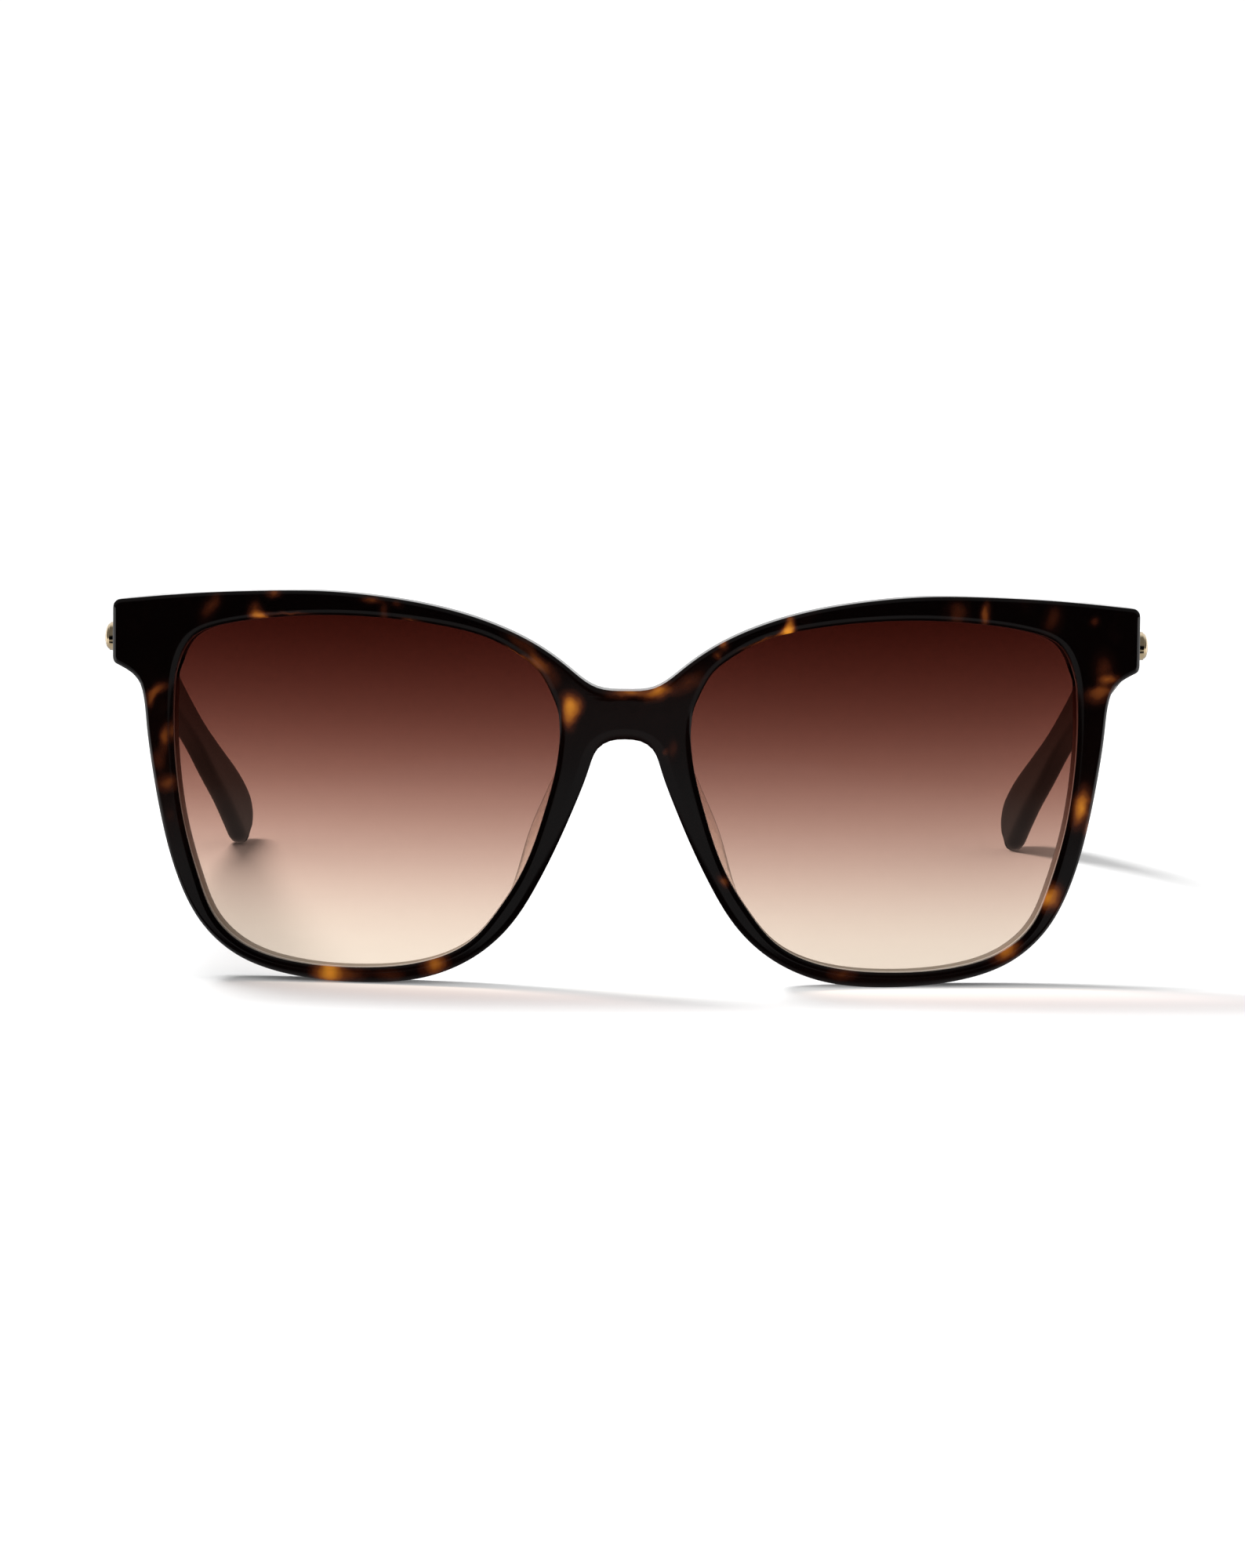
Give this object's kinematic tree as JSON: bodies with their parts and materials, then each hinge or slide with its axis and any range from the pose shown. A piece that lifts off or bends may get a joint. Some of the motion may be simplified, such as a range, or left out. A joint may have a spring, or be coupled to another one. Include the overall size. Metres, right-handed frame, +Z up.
{
  "type": "cat eye sunglasses",
  "caption": "Square cat eye sunglasses: dark tortoise acetate front and folding temples, brown gradient lenses, clear nose pads and plain gold-coloured temple studs.",
  "frame": {"origin": "centre of the open glasses' box in X and Y, at the level of the surface they stand on", "axes": "+X to the wearer's left, +Y back along the temples, +Z up; the front faces -Y"},
  "size_m": [0.1492, 0.1384, 0.0555],
  "materials": {
    "tortoise_acetate": "polished, near black brown with amber patches",
    "gradient_lens": "polished, dark brown at the top fading to pale beige at the bottom",
    "clear_acetate": "polished, clear",
    "hinge_steel": "satin",
    "core_steel": "drawn wire",
    "gold_plate": "polished gold colour"
  },
  "bodies": {
    "front": {"front": "tortoise_acetate", "lens_left": "gradient_lens", "nose_pad_left": "clear_acetate", "front_hinge_leaf_left": "hinge_steel", "hinge_screw_left": "hinge_steel", "lens_right": "gradient_lens", "nose_pad_right": "clear_acetate", "front_hinge_leaf_right": "hinge_steel", "hinge_screw_right": "hinge_steel"},
    "temple_left": {"temple_left": "tortoise_acetate", "temple_hinge_leaf_left": "hinge_steel", "core_wire_left": "core_steel", "temple_stud_left": "gold_plate"},
    "temple_right": {"temple_right": "tortoise_acetate", "temple_hinge_leaf_right": "hinge_steel", "core_wire_right": "core_steel", "temple_stud_right": "gold_plate"}
  },
  "joints": [
    {"name": "temple_left_fold", "type": "hinge", "parent": "front", "child": "temple_left", "pos_m": [0.06635, -0.05408, 0.0484], "axis": [0, 0, 1], "range_deg": [0, 87]},
    {"name": "temple_right_fold", "type": "hinge", "parent": "front", "child": "temple_right", "pos_m": [-0.06635, -0.05408, 0.0484], "axis": [0, 0, -1], "range_deg": [0, 80]}
  ]
}
